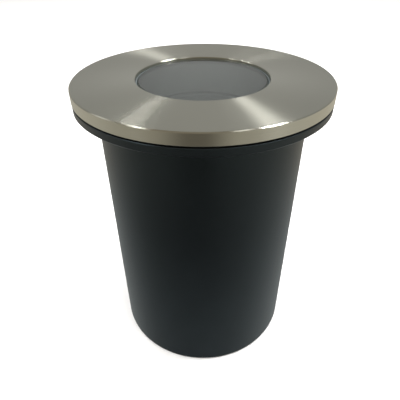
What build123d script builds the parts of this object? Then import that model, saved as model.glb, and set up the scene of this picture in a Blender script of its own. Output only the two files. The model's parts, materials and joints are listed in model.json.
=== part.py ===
"""In-ground well light: a black sleeve set in the ground, and a sealed luminaire that hangs in it.

Millimetres. +Z is up, and the origin is the centre of the sleeve's underside.
Levels are heights above that underside. Radii are measured from the vertical axis of the light.
"""
from build123d import *
import math
import os

# ---------------------------------------------------------------- driving sizes
# Radii grow outwards from the lamp, which is a standard size, and levels down from the trim ring's face.
# Lamp: a finned reflector lamp with two pins
lamp_radius = 25.0
lamp_rim_height = 5.0
lamp_rim_wall = 0.9
lamp_shoulder = 2.6
lamp_fin_depth_top = 3.9
lamp_fin_depth_foot = 2.8
lamp_fin_root_foot = 9.6
lamp_fin_length = 25.5
lamp_fin_count = 20
lamp_fin_gap = 1.8
lamp_base_radius = 9.0
lamp_base_height = 8.0
lamp_base_chamfer = 1.2
lamp_lens_thickness = 3.6
lamp_lens_recess = 0.4
lamp_lens_step_width = 0.9
lamp_lens_step_depth = 0.3
board_margin = 7.5
board_thickness = 1.6
board_drop = 3.6
emitter_radius = 5.0
emitter_height = 0.8
pin_radius = 0.75
pin_length = 7.0
pin_spacing = 5.3
pin_chamfer = 0.3

# Gimbal ring, its pivot screws and its lamp clip
lamp_face_depth = 23.0
gimbal_wall = 1.7
gimbal_height_above_pivot = 2.5
gimbal_lip_width = 2.2
gimbal_lip_thickness = 1.5
gimbal_boss_radius = 2.3
pivot_radius = 1.5
pivot_head_radius = 2.8
pivot_head_height = 1.8
driver_slot_width = 0.7
driver_slot_depth = 0.8
clip_thickness = 1.2
clip_width = 1.1
clip_groove_depth = 0.4
clip_gap_degrees = 30.0
clip_tab_length = 3.0
clip_tab_width = 1.6

# Anti-glare shield, spun from aluminium
gimbal_swing_room = 1.0
shield_wall = 0.6
shield_top_gap = 0.7
shield_tube_length = 14.0

# Turntable and its retaining ring
turntable_bore_gap = 0.6
turntable_width = 7.8
turntable_thickness = 1.6
ear_thickness = 1.5
ear_width = 9.0
snap_ring_thickness = 1.0
snap_ring_width = 2.1
snap_ring_depth = 0.8
snap_ring_gap_degrees = 24.0
snap_ring_lug_radius = 1.9
snap_ring_eye_radius = 0.8

# Lamp housing, a die-cast can
housing_depth = 95.9
can_wall = 3.6
can_floor = 3.5
can_draft = 0.5
can_foot_radius = 4.0
mouth_wall = 4.0
register_height = 5.4
shield_ledge_depth = 3.7
shield_ledge_width = 1.2
turntable_ledge_depth = 4.5
turntable_ledge_width = 2.0

# Sleeve that stays in the ground
sleeve_height = 133.2
sleeve_wall = 3.0
sleeve_floor = 3.0
sleeve_edge_radius = 1.8
sleeve_foot_width = 7.0
sleeve_foot_height = 0.8
flange_overhang = 9.3
flange_thickness = 3.4
flange_edge_chamfer = 0.5
conduit_hole_radius = 12.8
conduit_collar_wall = 2.5
conduit_collar_height = 6.0
drain_hole_radius = 4.0
drain_circle_radius = 30.0
drain_hole_count = 4
rib_count = 6
rib_width = 2.4
rib_depth = 1.1
rib_height = 105.0

# Trim ring, turned from stainless steel
trim_overhang = 0.1
trim_height = 5.1
trim_face_thickness = 2.0
trim_skirt_wall = 5.6
trim_edge_chamfer = 0.4
trim_foot_chamfer = 0.2
opening_margin = 0.75
opening_chamfer = 0.25

# Lens, and the seals on either side of it
lens_recess = 1.0
lens_flange_thickness = 2.5
lens_bevel = 0.6
lens_edge_gap = 0.85
lens_seat_width = 2.5
lens_gasket_thickness = 0.5
seat_gasket_thickness = 0.8
gasket_lip_drop = 0.35

# Seals round the housing
flange_gasket_thickness = 0.6
flange_gasket_inset = 1.0
o_ring_section_radius = 0.9
o_ring_groove_width = 2.4
o_ring_drop = 2.8

# Lampholder and the leads to it
holder_length = 18.0
holder_width = 11.0
holder_height = 11.8
holder_corner_radius = 3.0
holder_hole_depth = 8.5
lead_radius = 0.8
lead_spacing = 10.4
lead_bend_radius = 8.0
lead_run_in = 2.5

# Terminal block on the housing floor
block_length = 19.0
block_width = 12.0
block_height = 13.0
block_gap = 2.1
block_groove_width = 1.6
block_groove_depth = 5.0
insert_side = 5.0
insert_bore_radius = 1.7
insert_inset = 0.8
insert_level = 7.0
terminal_screw_radius = 1.3
terminal_screw_length = 4.0
terminal_screw_spacing = 6.0
fixing_screw_radius = 1.3
fixing_screw_head_radius = 2.0
fixing_screw_head_height = 1.6
fixing_screw_embed = 2.4

# Cable gland in the housing floor
gland_thread_radius = 10.0
gland_thread_rise = 5.0
gland_passage_radius = 5.6
gland_across_flats = 24.0
gland_hex_height = 5.0
gland_washer_radius = 13.0
gland_washer_thickness = 1.2
locknut_height = 4.5
gland_sleeve_radius = 9.6
gland_sleeve_length = 9.0
gland_sleeve_bore_radius = 7.0
cap_nut_height = 13.0
cap_nut_mouth_radius = 5.2
cap_nut_cone_width = 3.0
cable_hole_radius = 3.75
seal_flange_height = 1.6

# Clearances
rest_gap = 0.1
seal_ease = 0.15
seated_ease = 0.05
part_ease = 0.3
register_ease = 0.5
pivot_ease = 0.05
pin_ease = 0.08
thread_ease = 0.3
screw_ease = 0.1
nut_corner_relief = 0.5

# ---------------------------------------------------------------- levels worked out
flange_foot = sleeve_height - flange_thickness
seat_level = sleeve_height + flange_gasket_thickness + rest_gap
trim_top = seat_level + trim_height
trim_underside = trim_top - trim_face_thickness

lens_top = trim_top - lens_recess
lens_flange_top = trim_underside - lens_gasket_thickness
lens_bottom = lens_flange_top - lens_flange_thickness
lens_seat = lens_bottom - seat_gasket_thickness

shield_top = lens_bottom - shield_top_gap
shield_foot = shield_top - shield_tube_length
shield_ledge = lens_seat - shield_ledge_depth
turntable_ledge = shield_ledge - turntable_ledge_depth
turntable_top = turntable_ledge + turntable_thickness
snap_ring_foot = turntable_top + part_ease
collar_top = trim_underside - 2 * rest_gap
register_foot = seat_level - register_height
o_ring_level = seat_level - o_ring_drop
housing_base = seat_level - housing_depth
housing_floor_top = housing_base + can_floor

pivot_level = trim_top - lamp_face_depth
gimbal_top = pivot_level + gimbal_height_above_pivot
lamp_rim_foot = pivot_level - lamp_rim_height
gimbal_foot = lamp_rim_foot - gimbal_lip_thickness
lamp_cup_floor = lamp_rim_foot + lamp_rim_wall
board_level = lamp_cup_floor - board_drop
lamp_fin_foot = lamp_rim_foot - lamp_fin_length
lamp_base_foot = lamp_fin_foot - lamp_base_height
holder_top = lamp_base_foot - rest_gap
holder_foot = holder_top - holder_height

gland_top = housing_floor_top + gland_thread_rise
gland_hex_top = housing_base - gland_washer_thickness
gland_hex_foot = gland_hex_top - gland_hex_height
gland_sleeve_foot = gland_hex_foot - gland_sleeve_length
seal_foot = gland_sleeve_foot - seal_flange_height
cap_nut_top = gland_hex_foot - part_ease
cap_nut_foot = cap_nut_top - cap_nut_height

block_top = housing_floor_top + block_height
insert_axis_level = housing_floor_top + insert_level
fixing_screw_seat = block_top - block_groove_depth - fixing_screw_head_height

# ---------------------------------------------------------------- radii worked out
lamp_fin_tip_top = lamp_radius - lamp_shoulder
lamp_fin_root_top = lamp_fin_tip_top - lamp_fin_depth_top
lamp_fin_tip_foot = lamp_fin_root_foot + lamp_fin_depth_foot
board_radius = lamp_radius - board_margin

gimbal_bore = lamp_radius + part_ease
gimbal_radius = gimbal_bore + gimbal_wall
clip_outer_radius = gimbal_bore + clip_groove_depth
pivot_screw_start = clip_outer_radius + part_ease

shield_bore_radius = gimbal_radius + gimbal_swing_room
turntable_bore_radius = shield_bore_radius + shield_wall + turntable_bore_gap
turntable_radius = turntable_bore_radius + turntable_width
ear_outer_face = turntable_bore_radius + ear_thickness

shield_ledge_radius = turntable_radius + part_ease
turntable_ledge_radius = shield_ledge_radius - turntable_ledge_width
mouth_radius = shield_ledge_radius + shield_ledge_width
register_radius = mouth_radius + mouth_wall
can_top_radius = shield_ledge_radius + can_wall
can_inner_foot_radius = turntable_ledge_radius - can_draft
can_outer_foot_radius = can_inner_foot_radius + can_wall

sleeve_bore = register_radius + register_ease
sleeve_radius = sleeve_bore + sleeve_wall
flange_radius = sleeve_radius + flange_overhang
trim_radius = flange_radius + trim_overhang
collar_radius = trim_radius - trim_skirt_wall - thread_ease

opening_radius = shield_bore_radius + opening_margin
lens_step_radius = opening_radius - lens_edge_gap
lens_radius = mouth_radius + lens_seat_width
lens_pocket_radius = lens_radius + part_ease

gland_corner_radius = gland_across_flats / math.sqrt(3)
block_centre_y = -(gland_corner_radius + block_gap + block_width / 2)


# ---------------------------------------------------------------- shared shapes
def turned(*outline, arc=360):
    """A solid of revolution about the light's axis, from (radius, level) points round its section."""
    section = make_face(Polyline(*outline, close=True))
    return revolve(Plane.XZ * section, axis=Axis.Z, revolution_arc=arc)


def tube(outer, inner, foot, top):
    """A plain ring or pipe between two levels."""
    return turned((inner, foot), (outer, foot), (outer, top), (inner, top))


def disc(radius, foot, top, x=0.0, y=0.0):
    """An upright cylinder between two levels."""
    standing = (Align.CENTER, Align.CENTER, Align.MIN)
    return Pos(x, y, foot) * Cylinder(radius, top - foot, align=standing)


def hexagon(across_flats, foot, top):
    """A hexagonal bar between two levels."""
    section = RegularPolygon(across_flats / 2, 6, major_radius=False)
    return extrude(Pos(0, 0, foot) * section, top - foot)


def round_edges(solid, radius, level):
    """The circular edges of one radius that lie at one level."""
    def is_wanted(edge):
        same_level = abs(edge.center().Z - level) < 0.01
        return same_level and abs(edge.radius - radius) < 0.01

    circles = solid.edges().filter_by(GeomType.CIRCLE)
    return circles.filter_by(is_wanted)


def around(count, first_degrees=0.0):
    """Turns about the light's axis that space a number of copies evenly."""
    return [Rot(0, 0, first_degrees + 360 * i / count) for i in range(count)]


# ---------------------------------------------------------------- sleeve
def make_mounting_sleeve():
    foot_radius = sleeve_radius - sleeve_foot_width
    shell = turned(
        (0, sleeve_foot_height),
        (foot_radius, sleeve_foot_height),
        (foot_radius, 0),
        (sleeve_radius, 0),
        (sleeve_radius, flange_foot),
        (flange_radius, flange_foot),
        (flange_radius, sleeve_height),
        (sleeve_bore, sleeve_height),
        (sleeve_bore, sleeve_floor),
        (0, sleeve_floor),
    )
    shell = fillet(round_edges(shell, sleeve_radius, 0), sleeve_edge_radius)
    shell = chamfer(round_edges(shell, flange_radius, flange_foot), flange_edge_chamfer)
    shell = chamfer(round_edges(shell, flange_radius, sleeve_height), flange_edge_chamfer / 2)
    shell = chamfer(round_edges(shell, sleeve_bore, sleeve_height), register_ease / 2)

    collar_outer = conduit_hole_radius + conduit_collar_wall
    shell += disc(collar_outer, sleeve_floor, sleeve_floor + conduit_collar_height)
    rib_outer = sleeve_bore + sleeve_wall / 2
    rib = extrude(
        Pos((rib_outer + sleeve_bore - rib_depth) / 2, 0, sleeve_foot_height)
        * Rectangle(rib_outer - sleeve_bore + rib_depth, rib_width),
        rib_height,
    )
    for turn in around(rib_count):
        shell += turn * rib
    shell -= disc(conduit_hole_radius, -1, sleeve_height)
    for turn in around(drain_hole_count, 45):
        shell -= turn * disc(drain_hole_radius, -1, sleeve_floor + 1, x=drain_circle_radius)
    return shell


def make_flange_gasket():
    inner = sleeve_bore + part_ease
    outer = flange_radius - flange_gasket_inset
    return tube(outer, inner, sleeve_height, sleeve_height + flange_gasket_thickness)


# ---------------------------------------------------------------- trim ring and lens
def make_trim_ring():
    ring = turned(
        (opening_radius, trim_underside),
        (collar_radius + thread_ease, trim_underside),
        (collar_radius + thread_ease, seat_level),
        (trim_radius, seat_level),
        (trim_radius, trim_top),
        (opening_radius, trim_top),
    )
    ring = chamfer(round_edges(ring, trim_radius, trim_top), trim_edge_chamfer)
    ring = chamfer(round_edges(ring, trim_radius, seat_level), trim_foot_chamfer)
    return chamfer(round_edges(ring, opening_radius, trim_top), opening_chamfer)


def make_lens_top_gasket():
    """A flat ring over the lens's flange, with a lip that stands in the gap round its raised face."""
    lip_inner = lens_step_radius + seal_ease
    lip_outer = opening_radius - seal_ease
    lip_top = lens_top - gasket_lip_drop
    return turned(
        (lip_inner, lens_flange_top),
        (lens_radius, lens_flange_top),
        (lens_radius, trim_underside),
        (lip_outer, trim_underside),
        (lip_outer, lip_top),
        (lip_inner, lip_top),
    )


def make_lens_glass():
    glass = turned(
        (0, lens_bottom),
        (lens_radius, lens_bottom),
        (lens_radius, lens_flange_top),
        (lens_step_radius, lens_flange_top),
        (lens_step_radius, lens_top),
        (0, lens_top),
    )
    return chamfer(round_edges(glass, lens_step_radius, lens_top), lens_bevel)


def make_lens_seat_gasket():
    return tube(lens_radius, mouth_radius + seal_ease, lens_seat, lens_bottom)


# ---------------------------------------------------------------- lamp housing
def make_lamp_housing():
    can = turned(
        (0, housing_base),
        (can_outer_foot_radius, housing_base),
        (can_top_radius, register_foot),
        (register_radius, register_foot),
        (register_radius, seat_level),
        (collar_radius, seat_level),
        (collar_radius, collar_top),
        (lens_pocket_radius, collar_top),
        (lens_pocket_radius, lens_seat),
        (mouth_radius, lens_seat),
        (mouth_radius, shield_ledge),
        (shield_ledge_radius, shield_ledge),
        (shield_ledge_radius, turntable_ledge),
        (turntable_ledge_radius, turntable_ledge),
        (can_inner_foot_radius, housing_floor_top),
        (0, housing_floor_top),
    )
    can = fillet(round_edges(can, can_outer_foot_radius, housing_base), can_foot_radius)
    can = chamfer(round_edges(can, can_inner_foot_radius, housing_floor_top), can_foot_radius / 2)

    groove_floor = register_radius - 2 * o_ring_section_radius + seal_ease + seated_ease
    half_groove = o_ring_groove_width / 2
    can -= tube(sleeve_bore, groove_floor, o_ring_level - half_groove, o_ring_level + half_groove)

    groove_foot = snap_ring_foot - seated_ease
    groove_top = snap_ring_foot + snap_ring_thickness + seated_ease
    groove_radius = shield_ledge_radius + snap_ring_depth + part_ease
    can -= tube(groove_radius, turntable_ledge_radius, groove_foot, groove_top)

    can -= disc(gland_thread_radius + screw_ease, housing_base - 1, housing_floor_top + 1)
    screw_hole_foot = housing_floor_top - fixing_screw_embed - screw_ease
    can -= disc(fixing_screw_radius, screw_hole_foot, housing_floor_top + 1, y=block_centre_y)
    return can


def make_housing_o_ring():
    """A round-section ring in the register's groove, close to the sleeve's bore."""
    ring_radius = sleeve_bore - seal_ease - o_ring_section_radius
    section = Plane.XZ * Pos(ring_radius, o_ring_level) * Circle(o_ring_section_radius)
    return revolve(section, axis=Axis.Z)


# ---------------------------------------------------------------- anti-glare shield
def make_antiglare_shield():
    """A spun tube whose rim turns outwards and down to stand on the housing's upper ledge."""
    rim_outer = mouth_radius - part_ease
    return turned(
        (shield_bore_radius, shield_foot),
        (shield_bore_radius + shield_wall, shield_foot),
        (shield_bore_radius + shield_wall, shield_top - shield_wall),
        (rim_outer - shield_wall, shield_top - shield_wall),
        (rim_outer - shield_wall, shield_ledge),
        (rim_outer, shield_ledge),
        (rim_outer, shield_top),
        (shield_bore_radius, shield_top),
    )


# ---------------------------------------------------------------- turntable
def make_turntable():
    """A flat ring on the housing's lower ledge, with two ears bent down to carry the gimbal ring."""
    plate = tube(turntable_radius, turntable_bore_radius, turntable_ledge, turntable_top)
    ear_reach = turntable_top - pivot_level
    outline = Pos(0, pivot_level + ear_reach / 2) * Rectangle(ear_width, ear_reach)
    outline += Pos(0, pivot_level) * Circle(ear_width / 2)
    ear = extrude(Plane.YZ.offset(turntable_bore_radius) * outline, ear_thickness)
    pivot_hole = Pos(0, pivot_level) * Circle(pivot_radius + pivot_ease)
    ear -= extrude(Plane.YZ.offset(turntable_bore_radius - 1) * pivot_hole, ear_thickness + 2)
    for turn in around(2):
        plate += turn * ear
    return plate


def make_turntable_snap_ring():
    """An open spring ring in the housing's groove, with two eyed ends for ring pliers."""
    foot = snap_ring_foot
    top = snap_ring_foot + snap_ring_thickness
    outer = shield_ledge_radius + snap_ring_depth
    inner = outer - snap_ring_width
    half_gap = snap_ring_gap_degrees / 2
    section = ((inner, foot), (outer, foot), (outer, top), (inner, top))
    ring = Rot(0, 0, half_gap) * turned(*section, arc=360 - snap_ring_gap_degrees)
    lug_centre = inner + snap_ring_width / 2 - snap_ring_lug_radius / 2
    for end in (half_gap, -half_gap):
        place = Rot(0, 0, end)
        ring += place * disc(snap_ring_lug_radius, foot, top, x=lug_centre)
        ring -= place * disc(snap_ring_eye_radius, foot - 1, top + 1, x=lug_centre)
    return ring


# ---------------------------------------------------------------- gimbal ring
def make_gimbal_ring():
    """A ring round the lamp's rim, with a lip below it, a clip groove above it and two pivot bosses."""
    lip_radius = gimbal_bore - gimbal_lip_width
    ring = turned(
        (lip_radius, gimbal_foot),
        (gimbal_radius, gimbal_foot),
        (gimbal_radius, gimbal_top),
        (gimbal_bore, gimbal_top),
        (gimbal_bore, lamp_rim_foot),
        (lip_radius, lamp_rim_foot),
    )
    boss_end = turntable_bore_radius - part_ease
    boss_start = gimbal_bore + gimbal_wall / 2
    boss = extrude(
        Plane.YZ.offset(boss_start) * Pos(0, pivot_level) * Circle(gimbal_boss_radius),
        boss_end - boss_start,
    )
    screw_hole = extrude(
        Plane.YZ.offset(pivot_screw_start) * Pos(0, pivot_level) * Circle(pivot_radius + seated_ease),
        boss_end,
    )
    for turn in around(2):
        ring += turn * boss
        ring -= turn * screw_hole
    groove_foot = pivot_level + rest_gap - seated_ease
    groove_top = pivot_level + rest_gap + clip_thickness + seated_ease
    ring -= tube(clip_outer_radius + seated_ease, lip_radius, groove_foot, groove_top)
    return ring


def make_pivot_screws():
    """Two slotted shoulder screws, threaded into the gimbal ring and turning in the ears."""
    shank_start = pivot_screw_start + seated_ease
    head_start = ear_outer_face + part_ease
    upright = Plane.YZ
    shank = extrude(
        upright.offset(shank_start) * Pos(0, pivot_level) * Circle(pivot_radius),
        head_start - shank_start,
    )
    head = extrude(
        upright.offset(head_start) * Pos(0, pivot_level) * Circle(pivot_head_radius),
        pivot_head_height,
    )
    slot = extrude(
        upright.offset(head_start + pivot_head_height - driver_slot_depth)
        * Pos(0, pivot_level) * Rectangle(2 * pivot_head_radius, driver_slot_width),
        driver_slot_depth,
    )
    screw = shank + head - slot
    return Compound([turn * screw for turn in around(2)])


def make_lamp_clip():
    """An open spring ring above the lamp's rim, whose ends turn inwards as finger tabs."""
    foot = pivot_level + rest_gap
    top = foot + clip_thickness
    inner = clip_outer_radius - clip_width
    half_gap = clip_gap_degrees / 2
    section = ((inner, foot), (clip_outer_radius, foot), (clip_outer_radius, top), (inner, top))
    clip = Rot(0, 0, half_gap) * turned(*section, arc=360 - clip_gap_degrees)
    standing = (Align.MAX, Align.CENTER, Align.MIN)
    tab = Pos(inner + clip_width / 2, 0, foot) * Box(
        clip_tab_length, clip_tab_width, clip_thickness, align=standing)
    half_tab = math.degrees(clip_tab_width / 2 / inner)
    for end in (half_gap + half_tab, -half_gap - half_tab):
        clip += Rot(0, 0, end) * tab
    return clip


# ---------------------------------------------------------------- lamp
def make_lamp_heatsink():
    """A cast cup with a rim for the lens, and tapered fins standing out from a conical core."""
    body = turned(
        (0, lamp_fin_foot),
        (lamp_fin_tip_foot, lamp_fin_foot),
        (lamp_fin_tip_top, lamp_rim_foot),
        (lamp_radius, lamp_rim_foot),
        (lamp_radius, pivot_level),
        (lamp_radius - lamp_rim_wall, pivot_level),
        (lamp_radius - lamp_rim_wall, lamp_cup_floor),
        (board_radius + part_ease, lamp_cup_floor),
        (board_radius + part_ease, board_level),
        (0, board_level),
    )
    fin_gap_top = board_level - lamp_rim_wall
    gap_section = make_face(Polyline(
        (lamp_fin_root_foot, lamp_fin_foot - 1),
        (lamp_radius, lamp_fin_foot - 1),
        (lamp_radius, fin_gap_top),
        (lamp_fin_root_top, fin_gap_top),
        close=True,
    ))
    fin_gap = extrude(Plane.XZ * gap_section, lamp_fin_gap / 2, both=True)
    for turn in around(lamp_fin_count):
        body -= turn * fin_gap
    return body


def make_led_board():
    board = disc(board_radius, board_level, board_level + board_thickness)
    emitter_foot = board_level + board_thickness
    return board + disc(emitter_radius, emitter_foot, emitter_foot + emitter_height)


def make_lamp_lens():
    """A flat lens over the emitter, with concentric steps turned in its face."""
    top = pivot_level - lamp_lens_recess
    foot = top - lamp_lens_thickness
    radius = lamp_radius - lamp_rim_wall - seated_ease
    plate = disc(radius, foot, top)
    for step in range(1, 4):
        groove_radius = radius * step / 4
        plate -= tube(groove_radius + lamp_lens_step_width, groove_radius, top - lamp_lens_step_depth, top)
    return plate


def make_lamp_base():
    base = disc(lamp_base_radius, lamp_base_foot, lamp_fin_foot)
    return chamfer(round_edges(base, lamp_base_radius, lamp_base_foot), lamp_base_chamfer)


def make_lamp_pins():
    pins = []
    for side in (-1, 1):
        x = side * pin_spacing / 2
        pin = disc(pin_radius, lamp_base_foot - pin_length, lamp_base_foot, x=x)
        pins.append(chamfer(pin.edges().group_by(Axis.Z)[0], pin_chamfer))
    return Compound(pins)


# ---------------------------------------------------------------- lampholder and leads
def make_lampholder():
    section = RectangleRounded(holder_length, holder_width, holder_corner_radius)
    holder = extrude(Pos(0, 0, holder_foot) * section, holder_height)
    for side in (-1, 1):
        x = side * pin_spacing / 2
        hole_radius = pin_radius + pin_ease
        holder -= disc(hole_radius, holder_top - holder_hole_depth, holder_top + 1, x=x)
    return holder


def make_lamp_leads():
    """Two insulated leads from the lampholder's underside, bent round into the terminal block."""
    leads = []
    bend_level = insert_axis_level + lead_bend_radius
    bend_axis = Axis((0, -lead_bend_radius, bend_level), (-1, 0, 0))
    end_y = block_centre_y + block_width / 2 - lead_run_in
    for side in (-1, 1):
        x = side * lead_spacing / 2
        lead = disc(lead_radius, bend_level, holder_foot, x=x)
        lead += revolve(Pos(x, 0, bend_level) * Circle(lead_radius), axis=bend_axis, revolution_arc=90)
        run_in_section = Plane.XZ.offset(lead_bend_radius) * Pos(x, insert_axis_level) * Circle(lead_radius)
        lead += extrude(run_in_section, -lead_bend_radius - end_y)
        leads.append(lead.solid())
    return Compound(leads)


# ---------------------------------------------------------------- terminal block
def make_terminal_block():
    """A two-pole screw connector: a groove between the poles, wire holes through it, screw wells above."""
    standing = (Align.CENTER, Align.CENTER, Align.MIN)
    block = Pos(0, block_centre_y, housing_floor_top) * Box(
        block_length, block_width, block_height, align=standing)
    block -= Pos(0, block_centre_y, block_top - block_groove_depth) * Box(
        block_groove_width, block_width + 2, block_groove_depth + 1, align=standing)
    for side in (-1, 1):
        x = side * lead_spacing / 2
        hole_side = insert_side + 2 * seated_ease
        block -= Pos(x, block_centre_y, insert_axis_level) * Box(hole_side, block_width + 2, hole_side)
        for y in terminal_screw_places():
            well_radius = terminal_screw_radius + part_ease
            block -= disc(well_radius, insert_axis_level, block_top + 1, x=x, y=y)
    shank_radius = fixing_screw_radius + screw_ease
    block -= disc(shank_radius, housing_base, block_top + 1, y=block_centre_y)
    head_radius = fixing_screw_head_radius + screw_ease
    return block - disc(head_radius, fixing_screw_seat, block_top + 1, y=block_centre_y)


def terminal_screw_places():
    half = terminal_screw_spacing / 2
    return (block_centre_y - half, block_centre_y + half)


def make_terminal_inserts():
    inserts = []
    for side in (-1, 1):
        x = side * lead_spacing / 2
        middle = Pos(x, block_centre_y, insert_axis_level)
        insert = middle * Box(insert_side, block_width - 2 * insert_inset, insert_side)
        insert -= middle * Rot(90, 0, 0) * Cylinder(insert_bore_radius, block_width)
        for y in terminal_screw_places():
            hole_radius = terminal_screw_radius + seated_ease
            insert -= disc(hole_radius, insert_axis_level, block_top, x=x, y=y)
        inserts.append(insert.solid())
    return Compound(inserts)


def make_terminal_screws():
    screws = []
    foot = insert_axis_level + lead_radius + rest_gap
    for side in (-1, 1):
        for y in terminal_screw_places():
            x = side * lead_spacing / 2
            screw = disc(terminal_screw_radius, foot, foot + terminal_screw_length, x=x, y=y)
            slot = Pos(x, y, foot + terminal_screw_length) * Box(
                2 * terminal_screw_radius, driver_slot_width, driver_slot_depth)
            screws.append((screw - slot).solid())
    return Compound(screws)


def make_block_fixing_screw():
    y = block_centre_y
    head_top = fixing_screw_seat + fixing_screw_head_height
    shank = disc(fixing_screw_radius, housing_floor_top - fixing_screw_embed, fixing_screw_seat, y=y)
    head = disc(fixing_screw_head_radius, fixing_screw_seat, head_top, y=y)
    slot = Pos(0, y, head_top) * Box(2 * fixing_screw_head_radius, driver_slot_width, driver_slot_depth)
    return shank + head - slot


# ---------------------------------------------------------------- cable gland
def make_gland_body():
    """A hexagon with a thread up through the housing floor and a plain sleeve below for the seal."""
    body = hexagon(gland_across_flats, gland_hex_foot, gland_hex_top)
    body += disc(gland_thread_radius, gland_hex_top, gland_top)
    body += disc(gland_sleeve_radius, gland_sleeve_foot, gland_hex_foot)
    body -= disc(gland_passage_radius, gland_sleeve_foot - 1, gland_top + 1)
    body -= disc(gland_sleeve_bore_radius, gland_sleeve_foot - 1, gland_hex_foot)
    return body


def make_gland_washer():
    inner = gland_thread_radius + screw_ease
    return tube(gland_washer_radius, inner, gland_hex_top, housing_base)


def make_gland_locknut():
    top = housing_floor_top + locknut_height
    nut = hexagon(gland_across_flats, housing_floor_top, top)
    return nut - disc(gland_thread_radius + screw_ease, housing_floor_top - 1, top + 1)


def make_gland_seal():
    """A rubber bush in the gland's sleeve, with a flange under the sleeve's end."""
    outer = gland_sleeve_bore_radius - seated_ease
    flange_outer = gland_sleeve_radius - part_ease
    return turned(
        (cable_hole_radius, seal_foot),
        (flange_outer, seal_foot),
        (flange_outer, gland_sleeve_foot),
        (outer, gland_sleeve_foot),
        (outer, gland_hex_foot - rest_gap),
        (cable_hole_radius, gland_hex_foot - rest_gap),
    )


def make_gland_cap_nut():
    """A coned hexagonal nut that screws up over the gland's sleeve and presses the seal."""
    nut = hexagon(gland_across_flats, cap_nut_foot, cap_nut_top)
    envelope_radius = gland_corner_radius - nut_corner_relief
    envelope = disc(envelope_radius, cap_nut_foot, cap_nut_top)
    nut &= chamfer(round_edges(envelope, envelope_radius, cap_nut_foot), cap_nut_cone_width)
    nut -= disc(gland_sleeve_radius + thread_ease, seal_foot - rest_gap, cap_nut_top + 1)
    return nut - disc(cap_nut_mouth_radius, cap_nut_foot - 1, cap_nut_top)


# ---------------------------------------------------------------- all the pieces
def make_all():
    return {
        "mounting_sleeve": make_mounting_sleeve(),
        "flange_gasket": make_flange_gasket(),
        "trim_ring": make_trim_ring(),
        "lens_top_gasket": make_lens_top_gasket(),
        "lens_glass": make_lens_glass(),
        "lens_seat_gasket": make_lens_seat_gasket(),
        "lamp_housing": make_lamp_housing(),
        "housing_o_ring": make_housing_o_ring(),
        "antiglare_shield": make_antiglare_shield(),
        "turntable": make_turntable(),
        "turntable_snap_ring": make_turntable_snap_ring(),
        "gimbal_ring": make_gimbal_ring(),
        "pivot_screws": make_pivot_screws(),
        "lamp_clip": make_lamp_clip(),
        "lamp_heatsink": make_lamp_heatsink(),
        "lamp_lens": make_lamp_lens(),
        "led_board": make_led_board(),
        "lamp_base": make_lamp_base(),
        "lamp_pins": make_lamp_pins(),
        "lampholder": make_lampholder(),
        "lamp_leads": make_lamp_leads(),
        "terminal_block": make_terminal_block(),
        "terminal_inserts": make_terminal_inserts(),
        "terminal_screws": make_terminal_screws(),
        "block_fixing_screw": make_block_fixing_screw(),
        "gland_body": make_gland_body(),
        "gland_washer": make_gland_washer(),
        "gland_locknut": make_gland_locknut(),
        "gland_seal": make_gland_seal(),
        "gland_cap_nut": make_gland_cap_nut(),
    }


os.makedirs("parts", exist_ok=True)
for name, piece in make_all().items():
    export_step(piece, f"parts/{name}.step")
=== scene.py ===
import json
import math

import bmesh
import bpy
from mathutils import Matrix, Vector


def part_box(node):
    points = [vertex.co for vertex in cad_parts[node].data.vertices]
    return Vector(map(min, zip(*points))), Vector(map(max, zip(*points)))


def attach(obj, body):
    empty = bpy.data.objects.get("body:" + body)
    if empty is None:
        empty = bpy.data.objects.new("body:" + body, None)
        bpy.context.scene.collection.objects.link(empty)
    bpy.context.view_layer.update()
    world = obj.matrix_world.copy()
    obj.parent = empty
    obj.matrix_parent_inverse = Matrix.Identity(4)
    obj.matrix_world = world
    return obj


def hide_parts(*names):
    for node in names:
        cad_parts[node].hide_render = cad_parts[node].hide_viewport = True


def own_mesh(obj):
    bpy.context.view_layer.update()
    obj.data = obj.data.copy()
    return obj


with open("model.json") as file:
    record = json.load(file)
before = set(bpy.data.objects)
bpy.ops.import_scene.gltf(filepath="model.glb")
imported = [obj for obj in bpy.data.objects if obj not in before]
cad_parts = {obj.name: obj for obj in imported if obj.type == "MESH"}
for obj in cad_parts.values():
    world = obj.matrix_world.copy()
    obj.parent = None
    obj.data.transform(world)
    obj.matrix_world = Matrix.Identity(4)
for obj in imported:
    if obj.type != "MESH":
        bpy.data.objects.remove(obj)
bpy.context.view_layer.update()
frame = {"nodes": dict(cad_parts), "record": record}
cad = frame["nodes"]

# ---------------------------------------------------------------- sizes, in millimetres
MM = 0.001
AROUND = 192


def extent(node):
    """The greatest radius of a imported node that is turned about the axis, and its lowest and highest level."""
    low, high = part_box(node)
    return high.x / MM, low.z / MM, high.z / MM


TRIM_RADIUS, SEAT_LEVEL, TRIM_TOP = extent("trim_ring")
TRIM_PLATE = 2.0
TRIM_SKIRT = 5.6
TRIM_UNDERSIDE = TRIM_TOP - TRIM_PLATE
TRIM_BORE = TRIM_RADIUS - TRIM_SKIRT
TRIM_CHAMFER = 0.4
TRIM_FOOT_CHAMFER = 0.2
TRIM_ARRIS = 0.06
OPENING_RADIUS = 28.75
OPENING_CHAMFER = 0.25

LENS_RADIUS, LENS_BOTTOM, LENS_TOP = extent("lens_glass")
LENS_GAP = 0.85
LENS_FLANGE = 2.5
LENS_STEP_RADIUS = OPENING_RADIUS - LENS_GAP
LENS_FLANGE_TOP = LENS_BOTTOM + LENS_FLANGE
LENS_BEVEL = 0.6
LENS_ARRIS = 0.08

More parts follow.
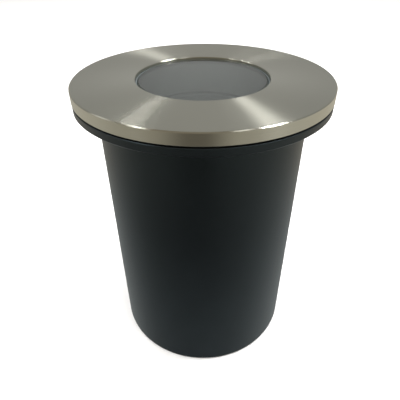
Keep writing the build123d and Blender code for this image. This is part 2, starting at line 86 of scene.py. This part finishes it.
COLLAR_CLEARANCE = 0.3
COLLAR_DEPTH = 2.2
COLLAR_RADIUS = TRIM_BORE - COLLAR_CLEARANCE
COLLAR_TOP = TRIM_TOP - COLLAR_DEPTH
THREAD_PITCH = 1.5
THREAD_HEIGHT = 0.2
THREAD_ROOT = 0.1
THREAD_HALF_WIDTH = 0.35
THREAD_START = SEAT_LEVEL + 0.1
THREAD_RUN_OUT = 0.3

LEAD_RADIUS = 0.8
LEAD_BEND = 8.0


# ---------------------------------------------------------------- colour and nodes
def linear(hex_colour):
    """An sRGB hex colour as linear RGBA."""
    channels = [int(hex_colour[i:i + 2], 16) / 255 for i in (0, 2, 4)]
    return tuple(c / 12.92 if c <= 0.04045 else ((c + 0.055) / 1.055) ** 2.4 for c in channels) + (1.0,)


def add_node(tree, kind, values=None, links=None, **settings):
    """A node with its settings, the values of its sockets and the outputs that feed them."""
    node = tree.nodes.new(kind)
    for name, value in settings.items():
        setattr(node, name, value)
    for socket, value in (values or {}).items():
        node.inputs[socket].default_value = value
    for socket, source in (links or {}).items():
        tree.links.new(source, node.inputs[socket])
    return node


def start_material(name, **values):
    """A material with its Principled shader, whose constants are set on its own sockets."""
    material = bpy.data.materials.new(name)
    material.use_nodes = True
    shader = material.node_tree.nodes["Principled BSDF"]
    for socket, value in values.items():
        shader.inputs[socket.replace("_", " ")].default_value = value
    return material, material.node_tree, shader


def waves_per_metre(size_mm):
    """A noise scale from the size of one grain on the real surface."""
    return 1 / (size_mm * MM)


def tone_between(tree, factor, first, second):
    """The output of a mix of two colours."""
    mix = add_node(tree, "ShaderNodeMix", {6: linear(first), 7: linear(second)}, {0: factor}, data_type="RGBA")
    return mix.outputs[2]


def grained(name, tones, roughness, grain_mm, relief_mm, patch_mm=18.0, **values):
    """A surface with slow drifts of tone, fine grain in its gloss and a shallow relief."""
    material, tree, shader = start_material(name, **values)
    place = add_node(tree, "ShaderNodeTexCoord").outputs["Object"]
    patches = add_node(tree, "ShaderNodeTexNoise", {"Scale": waves_per_metre(patch_mm), "Detail": 3.0},
                       {"Vector": place})
    grain = add_node(tree, "ShaderNodeTexNoise", {"Scale": waves_per_metre(grain_mm), "Detail": 2.0},
                     {"Vector": place})
    tree.links.new(tone_between(tree, patches.outputs["Fac"], *tones), shader.inputs["Base Color"])
    gloss = add_node(tree, "ShaderNodeMapRange", {"To Min": roughness[0], "To Max": roughness[1]},
                     {"Value": grain.outputs["Fac"]})
    tree.links.new(gloss.outputs["Result"], shader.inputs["Roughness"])
    bump = add_node(tree, "ShaderNodeBump", {"Strength": 1.0, "Distance": relief_mm * MM},
                    {"Height": grain.outputs["Fac"]})
    tree.links.new(bump.outputs["Normal"], shader.inputs["Normal"])
    return material


def turned_metal(name, tones, roughness, line_mm, relief_mm, anisotropy, arc_turns=7.0):
    """Metal finished while it spins: fine concentric lines, which draw each light out into a wedge."""
    material, tree, shader = start_material(
        name, Metallic=1.0, Anisotropic=anisotropy, Anisotropic_Rotation=0.25)
    place = add_node(tree, "ShaderNodeTexCoord").outputs["Object"]
    flat = add_node(tree, "ShaderNodeVectorMath", {1: (1, 1, 0)}, {0: place}, operation="MULTIPLY")
    heading = add_node(tree, "ShaderNodeVectorMath", None, {0: flat.outputs[0]}, operation="NORMALIZE")
    radius = add_node(tree, "ShaderNodeVectorMath", None, {0: flat.outputs[0]}, operation="LENGTH")
    split = add_node(tree, "ShaderNodeSeparateXYZ", None, {0: place})
    across = add_node(tree, "ShaderNodeMath", None,
                      {0: radius.outputs["Value"], 1: split.outputs["Z"]}, operation="ADD")
    lines = add_node(tree, "ShaderNodeMath", {1: waves_per_metre(line_mm)}, {0: across.outputs[0]},
                     operation="MULTIPLY")
    stacked = add_node(tree, "ShaderNodeCombineXYZ", None, {"Z": lines.outputs[0]})
    arcs = add_node(tree, "ShaderNodeVectorMath", {"Scale": arc_turns}, {0: heading.outputs[0]},
                    operation="SCALE")
    track = add_node(tree, "ShaderNodeVectorMath", None,
                     {0: arcs.outputs[0], 1: stacked.outputs[0]}, operation="ADD")
    streak = add_node(tree, "ShaderNodeTexNoise", {"Scale": 1.0, "Detail": 2.0, "Roughness": 0.6},
                      {"Vector": track.outputs[0]})
    tree.links.new(tone_between(tree, streak.outputs["Fac"], *tones), shader.inputs["Base Color"])
    gloss = add_node(tree, "ShaderNodeMapRange", {"To Min": roughness[0], "To Max": roughness[1]},
                     {"Value": streak.outputs["Fac"]})
    tree.links.new(gloss.outputs["Result"], shader.inputs["Roughness"])
    bump = add_node(tree, "ShaderNodeBump", {"Strength": 1.0, "Distance": relief_mm * MM},
                    {"Height": streak.outputs["Fac"]})
    tree.links.new(bump.outputs["Normal"], shader.inputs["Normal"])
    along = add_node(tree, "ShaderNodeVectorMath", {0: (0, 0, 1)}, {1: flat.outputs[0]},
                     operation="CROSS_PRODUCT")
    tangent = add_node(tree, "ShaderNodeVectorTransform", None, {0: along.outputs[0]},
                       vector_type="VECTOR", convert_from="OBJECT", convert_to="WORLD")
    tree.links.new(tangent.outputs[0], shader.inputs["Tangent"])
    return material


def clear_glass(name, tint, ior, roughness, haze_mm, film):
    """Clear material with a film of fine dust and wiping marks; lamps shine through it."""
    material, tree, shader = start_material(
        name, Transmission_Weight=1.0 - film, IOR=ior, Base_Color=linear(tint))
    place = add_node(tree, "ShaderNodeTexCoord").outputs["Object"]
    haze = add_node(tree, "ShaderNodeTexNoise", {"Scale": waves_per_metre(haze_mm), "Detail": 4.0},
                    {"Vector": place})
    gloss = add_node(tree, "ShaderNodeMapRange", {"To Min": roughness[0], "To Max": roughness[1]},
                     {"Value": haze.outputs["Fac"]})
    tree.links.new(gloss.outputs["Result"], shader.inputs["Roughness"])
    ray = add_node(tree, "ShaderNodeLightPath")
    passing = add_node(tree, "ShaderNodeBsdfTransparent", {"Color": linear(tint)})
    output = tree.nodes["Material Output"]
    mixed = add_node(tree, "ShaderNodeMixShader", None, {
        0: ray.outputs["Is Shadow Ray"], 1: shader.outputs[0], 2: passing.outputs[0]})
    tree.links.new(mixed.outputs[0], output.inputs["Surface"])
    return material


# ---------------------------------------------------------------- finishes
# Moulded black polypropylene: a dense black with a satin skin, which goes bright only at grazing angles. Its
# colour is
#  painted paler towards the foot: painted light that stands in for the white floor's glow reflected there.
MOULDED_POLYPROPYLENE = grained(
    "moulded_black_polypropylene", ("090a0b", "101213"), (0.30, 0.40), 0.6, 0.004, patch_mm=30.0, IOR=1.49,
    Specular_Tint=linear("d8f4ff"))
# Moulded nitrile rubber: the same black but dull, with a slightly dusty bloom.
MOULDED_RUBBER = grained(
    "moulded_nitrile_rubber", ("101112", "1a1b1b"), (0.62, 0.8), 0.5, 0.012, IOR=1.52)
# The same rubber where it stands in the gap round the glass, painted a lighter grey: painted light that lifts
# the gap's shade.
GAP_RUBBER_PAINTED_LIGHTER = grained(
    "nitrile_rubber_painted_lighter_in_gap", ("4c5252", "5c6363"), (0.7, 0.85), 0.5, 0.012, IOR=1.52)
# Stainless steel, face turned and brushed while it spins: warm grey, soft wedges of light, fine rings. The
# real lines are about 0.1 mm apart and are drawn coarser, so that they show.
BRUSHED_STAINLESS = turned_metal(
    "circular_brushed_stainless_steel", ("c4c3b6", "cecdc1"), (0.235, 0.27), 0.3, 0.0006, 1.0, arc_turns=2.0)
# Thermally toughened soda glass: neutral green-grey tint, polished, with a faint film of dust.
TOUGHENED_GLASS = clear_glass("polished_toughened_glass", "9ba19e", 1.52, (0.0, 0.05), 9.0, film=0.042)
# Die-cast aluminium under black powder coat: low orange-peel waves with a satin sheen.
POWDER_COATED_CASTING = grained(
    "powder_coated_aluminium_casting", ("17181a", "1f2022"), (0.42, 0.55), 0.9, 0.02, IOR=1.5)
# Aluminium sheet spun over a former: satin, with the rings of the forming roller.
SPUN_ALUMINIUM = turned_metal(
    "spun_aluminium", ("a5a5a3", "b4b4b1"), (0.3, 0.42), 0.6, 0.002, 0.6)
# Pressed steel, zinc plated: a cool sheen in cloudy patches.
ZINC_PLATE = grained(
    "zinc_plated_steel", ("a9acae", "bcbdba"), (0.3, 0.45), 1.2, 0.003, patch_mm=4.0, Metallic=1.0)
# Spring steel, oiled: darker and browner than the plated steel.
SPRING_STEEL = grained(
    "oiled_spring_steel", ("84868a", "95928c"), (0.28, 0.4), 0.8, 0.003, patch_mm=5.0, Metallic=1.0)
# Sand-blasted aluminium casting: an even, dull metal grain.
CAST_ALUMINIUM = grained(
    "blasted_aluminium_casting", ("8f9092", "a3a3a3"), (0.45, 0.6), 0.5, 0.02, Metallic=1.0)
# Moulded acrylic: water-clear and polished.
MOULDED_ACRYLIC = clear_glass("moulded_acrylic", "eef0ef", 1.49, (0.02, 0.1), 6.0, film=0.02)
# Steatite ceramic, fired without a glaze: chalky off-white with a fine grain.
FIRED_STEATITE = grained(
    "fired_steatite", ("dfd9cb", "ece8dc"), (0.55, 0.7), 0.6, 0.015, patch_mm=6.0, IOR=1.6)
# Silicone insulation over the leads: a soft, slightly yellow white.
SILICONE_INSULATION = grained(
    "extruded_silicone_insulation", ("cfc8b8", "dcd6c8"), (0.5, 0.62), 0.7, 0.006, patch_mm=5.0, IOR=1.41)
# Natural nylon: milky, waxy and a little see-through at its edges.
NATURAL_NYLON = grained(
    "moulded_natural_nylon", ("d2cdbb", "e0dccd"), (0.38, 0.5), 0.8, 0.008, patch_mm=7.0,
    IOR=1.53, Subsurface_Weight=0.2, Subsurface_Scale=0.001)
# Drawn brass, as cut: warm yellow with slight tarnish in patches.
DRAWN_BRASS = grained(
    "drawn_brass", ("a98a44", "c2a458"), (0.25, 0.38), 0.7, 0.003, patch_mm=4.0, Metallic=1.0)
# Glass-filled black nylon: as dark as the sleeve, with fibre grain under a satin skin.
GLASS_FILLED_NYLON = grained(
    "glass_filled_black_nylon", ("161719", "202124"), (0.38, 0.52), 0.5, 0.012, IOR=1.53)


# Size of the patches that break up the painted floor light on the sleeve's foot.
FOOT_LIGHT_PATCH_MM = 14.0
EMITTER_RADIUS = 4.2
EMITTER_EDGE = 0.1


def add_painted_foot_light(material, colour, reach_mm):
    """A paler colour painted over a finish from the foot up, broken up in patches: painted light for the floor's
    glow.
    """
    tree = material.node_tree
    shader = tree.nodes["Principled BSDF"]
    own_colour = shader.inputs["Base Color"].links[0].from_socket
    place = add_node(tree, "ShaderNodeTexCoord").outputs["Object"]
    split = add_node(tree, "ShaderNodeSeparateXYZ", None, {0: place})
    low = add_node(tree, "ShaderNodeMapRange", {
        "From Min": 0.0, "From Max": reach_mm * MM, "To Min": 1.0, "To Max": 0.0},
        {"Value": split.outputs["Z"]}, interpolation_type="SMOOTHSTEP")
    drifts = add_node(tree, "ShaderNodeTexNoise", {"Scale": waves_per_metre(FOOT_LIGHT_PATCH_MM), "Detail": 5.0},
                      {"Vector": place})
    broken = add_node(tree, "ShaderNodeMapRange", {"From Min": 0.2, "From Max": 0.8, "To Min": 0.7},
                      {"Value": drifts.outputs["Fac"]})
    painted_light_amount = add_node(tree, "ShaderNodeMath", None, {0: low.outputs[0], 1: broken.outputs[0]},
                     operation="MULTIPLY")
    # Painted light: the paler colour is mixed in where the floor's glow is painted.
    foot_lit = add_node(tree, "ShaderNodeMix", {7: linear(colour)}, {0: painted_light_amount.outputs[0], 6: own_colour},
                     data_type="RGBA")
    tree.links.new(foot_lit.outputs[2], shader.inputs["Base Color"])


# Painted light: the sleeve is painted paler towards its foot, standing in for the white floor's glow reflected
# there.
add_painted_foot_light(MOULDED_POLYPROPYLENE, "1c2124", 100.0)


def white_circuit_board():
    """Solder resist over an aluminium board, with the emitter's yellow phosphor in the middle."""
    material, tree, shader = start_material("white_solder_resist_and_phosphor", IOR=1.5)
    place = add_node(tree, "ShaderNodeTexCoord").outputs["Object"]
    flat = add_node(tree, "ShaderNodeVectorMath", {1: (1, 1, 0)}, {0: place}, operation="MULTIPLY")
    radius = add_node(tree, "ShaderNodeVectorMath", None, {0: flat.outputs[0]}, operation="LENGTH")
    emitter = add_node(tree, "ShaderNodeMapRange", {
        "From Min": (EMITTER_RADIUS - EMITTER_EDGE) * MM, "From Max": (EMITTER_RADIUS + EMITTER_EDGE) * MM,
        "To Min": 1.0, "To Max": 0.0},
        {"Value": radius.outputs["Value"]})
    cloud = add_node(tree, "ShaderNodeTexNoise", {"Scale": waves_per_metre(1.5), "Detail": 3.0},
                     {"Vector": place})
    resist = tone_between(tree, cloud.outputs["Fac"], "dededa", "eeeeea")
    colour = add_node(tree, "ShaderNodeMix", {7: linear("d8b53c")}, {0: emitter.outputs[0], 6: resist},
                      data_type="RGBA")
    tree.links.new(colour.outputs[2], shader.inputs["Base Color"])
    gloss = add_node(tree, "ShaderNodeMapRange", {"To Min": 0.35, "To Max": 0.55},
                     {"Value": cloud.outputs["Fac"]})
    tree.links.new(gloss.outputs["Result"], shader.inputs["Roughness"])
    return material


FINISHES = {
    "black_moulding": MOULDED_POLYPROPYLENE,
    "black_rubber": MOULDED_RUBBER,
    "brushed_stainless": BRUSHED_STAINLESS,
    "toughened_glass": TOUGHENED_GLASS,
    "black_casting": POWDER_COATED_CASTING,
    "spun_aluminium": SPUN_ALUMINIUM,
    "zinc_plated_steel": ZINC_PLATE,
    "spring_steel": SPRING_STEEL,
    "cast_aluminium": CAST_ALUMINIUM,
    "lens_acrylic": MOULDED_ACRYLIC,
    "white_circuit_board": white_circuit_board(),
    "white_ceramic": FIRED_STEATITE,
    "lead_insulation": SILICONE_INSULATION,
    "natural_nylon": NATURAL_NYLON,
    "brass": DRAWN_BRASS,
    "black_nylon": GLASS_FILLED_NYLON,
}


def finish_cad_nodes():
    """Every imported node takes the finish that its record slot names."""
    for part in frame["record"]["subparts"]:
        node = cad[part["node"]]
        if not node.material_slots:
            node.data.materials.append(None)
        for place in node.material_slots:
            place.material = FINISHES[part["material_slot"]]
    # The gasket in the gap takes the rubber painted lighter grey, as painted light against the shade in the gap.
    cad["lens_top_gasket"].material_slots[0].material = GAP_RUBBER_PAINTED_LIGHTER


# ---------------------------------------------------------------- shapes
# Faces that meet at more than this angle show an edge, which is kept sharp or broken by a small bevel.
SHARP_ANGLE = math.radians(25)


def spun(name, outline, around=AROUND):
    """A closed shape turned about the light's axis from (radius, level) points in millimetres."""
    mesh = bmesh.new()
    corners = [mesh.verts.new((r * MM, 0, z * MM)) for r, z in outline]
    edges = [mesh.edges.new(pair) for pair in zip(corners, corners[1:] + corners[:1])]
    bmesh.ops.spin(mesh, geom=corners + edges, cent=(0, 0, 0), axis=(0, 0, 1), angle=math.tau,
                   steps=around, use_merge=True)
    return finished(name, mesh)


def finished(name, mesh):
    """The object of a bmesh, with doubles merged, faces outwards and smooth between its sharp edges."""
    bmesh.ops.remove_doubles(mesh, verts=mesh.verts, dist=1e-7)
    bmesh.ops.dissolve_degenerate(mesh, edges=mesh.edges, dist=1e-8)
    bmesh.ops.recalc_face_normals(mesh, faces=mesh.faces)
    data = bpy.data.meshes.new(name)
    mesh.to_mesh(data)
    mesh.free()
    data.shade_smooth()
    data.set_sharp_from_angle(angle=SHARP_ANGLE)
    piece = bpy.data.objects.new(name, data)
    bpy.context.scene.collection.objects.link(piece)
    return piece


def soften(piece, radius_mm, segments):
    """Breaks the sharp edges of a piece to a small radius, as a deburred or moulded edge is."""
    bevel = piece.modifiers.new("broken_edges", "BEVEL")
    bevel.width = radius_mm * MM
    bevel.segments = segments
    bevel.limit_method = "ANGLE"
    bevel.angle_limit = SHARP_ANGLE
    bevel.harden_normals = True
    return piece


def dress(piece, slot, body, *replaced):
    """Gives a piece its finish and its body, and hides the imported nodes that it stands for."""
    piece.data.materials.append(FINISHES[slot])
    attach(piece, body)
    if replaced:
        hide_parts(*replaced)
    return piece


# ---------------------------------------------------------------- pieces
def make_trim_ring():
    """The turned ring: a flat face on a skirt, with a chamfer along its top edge and one at its foot."""
    c = TRIM_CHAMFER
    f = TRIM_FOOT_CHAMFER
    ring = spun("trim_ring_turned", [
        (OPENING_RADIUS, TRIM_UNDERSIDE),
        (TRIM_BORE, TRIM_UNDERSIDE),
        (TRIM_BORE, SEAT_LEVEL),
        (TRIM_RADIUS - f, SEAT_LEVEL),
        (TRIM_RADIUS, SEAT_LEVEL + f),
        (TRIM_RADIUS, TRIM_TOP - c),
        (TRIM_RADIUS - c, TRIM_TOP),
        (OPENING_RADIUS + OPENING_CHAMFER, TRIM_TOP),
        (OPENING_RADIUS, TRIM_TOP - OPENING_CHAMFER),
    ])
    soften(ring, TRIM_ARRIS, 2)
    dress(ring, "brushed_stainless", "trim", "trim_ring")


def make_lens_glass():
    """The stepped glass: a flange under the ring and a bevelled face that stands up in its opening."""
    b = LENS_BEVEL
    glass = spun("lens_glass_toughened", [
        (0, LENS_BOTTOM),
        (LENS_RADIUS, LENS_BOTTOM),
        (LENS_RADIUS, LENS_FLANGE_TOP),
        (LENS_STEP_RADIUS, LENS_FLANGE_TOP),
        (LENS_STEP_RADIUS, LENS_TOP - b),
        (LENS_STEP_RADIUS - b, LENS_TOP),
        (0, LENS_TOP),
    ])
    soften(glass, LENS_ARRIS, 2)
    dress(glass, "toughened_glass", "luminaire", "lens_glass")


def make_thread(name, wall, reach, low, high, slot, body):
    """A right-hand ridge wound on a round wall between two levels; a negative reach stands inwards."""
    turns = (high - low - 2 * THREAD_HALF_WIDTH) / THREAD_PITCH
    steps = round(AROUND * turns)
    root = wall - math.copysign(THREAD_ROOT, reach)
    mesh = bmesh.new()
    start = mesh.faces.new([mesh.verts.new((r * MM, 0, z * MM)) for r, z in (
        (root, low), (wall + reach, low + THREAD_HALF_WIDTH), (root, low + 2 * THREAD_HALF_WIDTH))])
    bmesh.ops.spin(mesh, geom=[start], cent=(0, 0, 0), axis=(0, 0, 1), angle=math.tau * turns,
                   dvec=(0, 0, THREAD_PITCH * turns / steps * MM), steps=steps)
    dress(finished(name, mesh), slot, body)


def make_threads():
    """The collar's thread and, half a pitch above it, the one in the ring that runs between its turns."""
    shift = THREAD_PITCH / 2
    make_thread("collar_thread", COLLAR_RADIUS, THREAD_HEIGHT, THREAD_START, COLLAR_TOP - THREAD_RUN_OUT,
                "black_casting", "luminaire")
    make_thread("trim_ring_thread", TRIM_BORE, -THREAD_HEIGHT, THREAD_START + shift,
                TRIM_UNDERSIDE - THREAD_RUN_OUT, "brushed_stainless", "trim")


def make_lamp_leads():
    """Two insulated leads that hang from the lampholder and curve round into the terminal block."""
    low, high = (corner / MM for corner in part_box("lamp_leads"))
    level = low.z + LEAD_RADIUS
    pole = high.x - LEAD_RADIUS
    top_bend = level + 2 * LEAD_BEND
    route = ((0.0, high.z), (0.0, top_bend), (0.0, level), (-2 * LEAD_BEND, level), (low.y, level))
    wires = bpy.data.curves.new("lead_routes", "CURVE")
    wires.dimensions = "3D"
    wires.bevel_depth = LEAD_RADIUS * MM
    wires.bevel_resolution = 4
    wires.resolution_u = 12
    wires.use_fill_caps = True
    for x in (-pole, pole):
        line = wires.splines.new("NURBS")
        line.points.add(len(route) - 1)
        for point, (y, z) in zip(line.points, route):
            point.co = (x * MM, y * MM, z * MM, 1)
        line.order_u = 3
        line.use_endpoint_u = True
    drawn = bpy.data.objects.new("lead_routes", wires)
    mesh = bmesh.new()
    mesh.from_mesh(bpy.data.meshes.new_from_object(drawn))
    leads = dress(finished("lamp_leads_insulated", mesh), "lead_insulation", "luminaire", "lamp_leads")
    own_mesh(leads)


# ---------------------------------------------------------------- studio
FLOOR_HALF_WIDTH = 6.0
PAPER_FIBRE_MM = 3.0

# Each softbox: its direction from the ring's face, its distance and size in metres, and its watts. The ring's
# fine lines draw each one out into a wedge of light, and the ring's chamfers catch the two in front.
SOFTBOXES = {
    "left_softbox": ((-0.42, 0.43, 0.80), 0.9, 0.12, 0.6),
    "right_softbox": ((0.56, 0.05, 0.83), 0.9, 0.19, 5.0),
    "left_low_softbox": ((-0.62, -0.2, 0.76), 1.1, 0.2, 0.3),
    "left_far_panel": ((-0.8, 0.15, 0.55), 1.1, 0.3, 0.25),
    "left_front_softbox": ((-0.66, -0.33, 0.675), 1.1, 0.2, 0.8),
    "right_low_softbox": ((0.39, -0.33, 0.86), 1.1, 0.2, 0.42),
}
# The ceiling lights the floor and the black sleeve evenly, and isn't mirrored in anything.
CEILING_BOUNCE = ((0.0, -0.1, 1.0), 1.6, 2.4, 60.0)

# The room's own light, as linear colours: a warm dark front and a brighter back above, the floor's
# mirror image below, and pale panels low down at both sides.
FRONT_ABOVE = (0.26, 0.22, 0.16)
BACK_ABOVE = (0.33, 0.33, 0.32)
BACK_GLOW = (0.54, 0.54, 0.53)
FRONT_BELOW = (0.05, 0.055, 0.06)
BACK_BELOW = (0.50, 0.53, 0.52)
SIDE_PANELS = (0.60, 0.56, 0.47)
ROOM_TURN = 0.2

# The camera that fits the photograph's ellipses: its turns in radians, its place in metres, its lens in mm.
CAMERA_YAW, CAMERA_PITCH, CAMERA_ROLL = -0.0093, 0.6243, -0.0068
CAMERA_PLACE = (0.0, -0.16138, 0.18977)
CAMERA_LENS = 33.86
CAMERA_SENSOR = 36.0
CAMERA_NEAR = 0.01


def aim(thing, target):
    """Turns a light to face a point."""
    thing.rotation_mode = "QUATERNION"
    thing.rotation_quaternion = (Vector(target) - thing.location).to_track_quat("-Z", "Y")


def add_softbox(name, direction, distance, size, power, seen_in_gloss=True):
    """A square soft light that faces the ring."""
    lamp = bpy.data.lights.new(name, "AREA")
    lamp.shape = "RECTANGLE"
    lamp.size = lamp.size_y = size
    lamp.energy = power
    light = bpy.data.objects.new(name, lamp)
    bpy.context.scene.collection.objects.link(light)
    light.location = Vector(direction).normalized() * distance + Vector((0, 0, TRIM_TOP * MM))
    light.visible_glossy = seen_in_gloss
    aim(light, (0, 0, TRIM_TOP * MM))


def make_floor():
    """Plain white paper under the light."""
    sheet = bmesh.new()
    bmesh.ops.create_grid(sheet, x_segments=1, y_segments=1, size=FLOOR_HALF_WIDTH)
    floor = finished("studio_floor", sheet)
    paper, tree, shader = start_material("white_background_paper", Roughness=0.9)
    place = add_node(tree, "ShaderNodeTexCoord").outputs["Object"]
    fibre = add_node(tree, "ShaderNodeTexNoise", {"Scale": waves_per_metre(PAPER_FIBRE_MM)},
                     {"Vector": place})
    tree.links.new(tone_between(tree, fibre.outputs["Fac"], "fafafa", "ffffff"), shader.inputs["Base Color"])
    floor.data.materials.append(paper)
    floor.visible_glossy = False


def make_room():
    """The light of the room round the part, as a function of direction."""
    world = bpy.data.worlds.new("studio_room")
    world.use_nodes = True
    bpy.context.scene.world = world
    tree = world.node_tree
    direction = add_node(tree, "ShaderNodeTexCoord").outputs["Generated"]
    skewed = add_node(tree, "ShaderNodeVectorRotate", {"Axis": (0, 0, 1), "Angle": ROOM_TURN},
                      {"Vector": direction})
    split = add_node(tree, "ShaderNodeSeparateXYZ", None, {0: direction})
    depth = add_node(tree, "ShaderNodeSeparateXYZ", None, {0: skewed.outputs[0]})

    def ramp(height, low, high, strength=1.0):
        """A smooth rise from low to high along one direction of the room."""
        rise = add_node(tree, "ShaderNodeMapRange", {"From Min": low, "From Max": high, "To Max": strength},
                        {"Value": height}, interpolation_type="SMOOTHSTEP")
        return rise.outputs[0]

    def blended(factor, first, second):
        """A mix of two colours, each a plain value or another mix."""
        node = add_node(tree, "ShaderNodeMix", None, {0: factor}, data_type="RGBA")
        for socket, colour in ((6, first), (7, second)):
            if isinstance(colour, tuple):
                node.inputs[socket].default_value = (*colour, 1)
            else:
                tree.links.new(colour, node.inputs[socket])
        return node.outputs[2]

    towards_back = ramp(depth.outputs["Y"], -0.85, 0.45)
    stretched = add_node(tree, "ShaderNodeVectorMath", {1: (2.2, 0.0, 1.3)}, {0: direction},
                         operation="MULTIPLY")
    behind = add_node(tree, "ShaderNodeVectorMath", {1: (0.0, 0.0, 0.2)}, {0: stretched.outputs[0]},
                      operation="DISTANCE")
    back = blended(ramp(behind.outputs["Value"], 0.9, 0.0), BACK_ABOVE, BACK_GLOW)
    above = blended(towards_back, FRONT_ABOVE, back)
    below = blended(towards_back, FRONT_BELOW, BACK_BELOW)
    room = blended(ramp(split.outputs["Z"], -0.62, -0.1), below, above)
    left = ramp(split.outputs["X"], -0.15, -0.65, 0.8)
    right = ramp(split.outputs["X"], 0.0, 0.5)
    sides = add_node(tree, "ShaderNodeMath", None, {0: left, 1: right}, operation="ADD")
    risen = ramp(split.outputs["Z"], -0.6, -0.42)
    sunk = ramp(split.outputs["Z"], 0.15, -0.1)
    band = add_node(tree, "ShaderNodeMath", None, {0: risen, 1: sunk}, operation="MULTIPLY")
    panels = add_node(tree, "ShaderNodeMath", None, {0: sides.outputs[0], 1: band.outputs[0]},
                      operation="MULTIPLY")
    lit = blended(panels.outputs[0], room, SIDE_PANELS)
    tree.links.new(lit, tree.nodes["Background"].inputs["Color"])


def make_studio():
    make_floor()
    for name, (direction, distance, size, power) in SOFTBOXES.items():
        add_softbox(name, direction, distance, size, power)
    add_softbox("ceiling_bounce", *CEILING_BOUNCE, seen_in_gloss=False)
    make_room()


def make_camera():
    """The photograph's viewpoint: in front of the light and above it, looking down on the trim ring."""
    yaw, pitch, roll = CAMERA_YAW, CAMERA_PITCH, CAMERA_ROLL
    forward = Vector((math.sin(yaw) * math.cos(pitch), math.cos(yaw) * math.cos(pitch), -math.sin(pitch)))
    level = Vector((math.cos(yaw), -math.sin(yaw), 0))
    upright = level.cross(forward)
    right = level * math.cos(roll) + upright * math.sin(roll)
    up = upright * math.cos(roll) - level * math.sin(roll)
    lens = bpy.data.cameras.new("photo_viewpoint")
    lens.sensor_width = CAMERA_SENSOR
    lens.lens = CAMERA_LENS
    lens.clip_start = CAMERA_NEAR
    camera = bpy.data.objects.new("photo_viewpoint", lens)
    bpy.context.scene.collection.objects.link(camera)
    turned = Matrix((right, up, -forward)).transposed().to_4x4()
    camera.matrix_world = Matrix.Translation(CAMERA_PLACE) @ turned
    bpy.context.scene.camera = camera


finish_cad_nodes()
make_trim_ring()
make_lens_glass()
make_threads()
make_lamp_leads()
make_studio()
make_camera()
bpy.context.scene.view_settings.view_transform = "Standard"
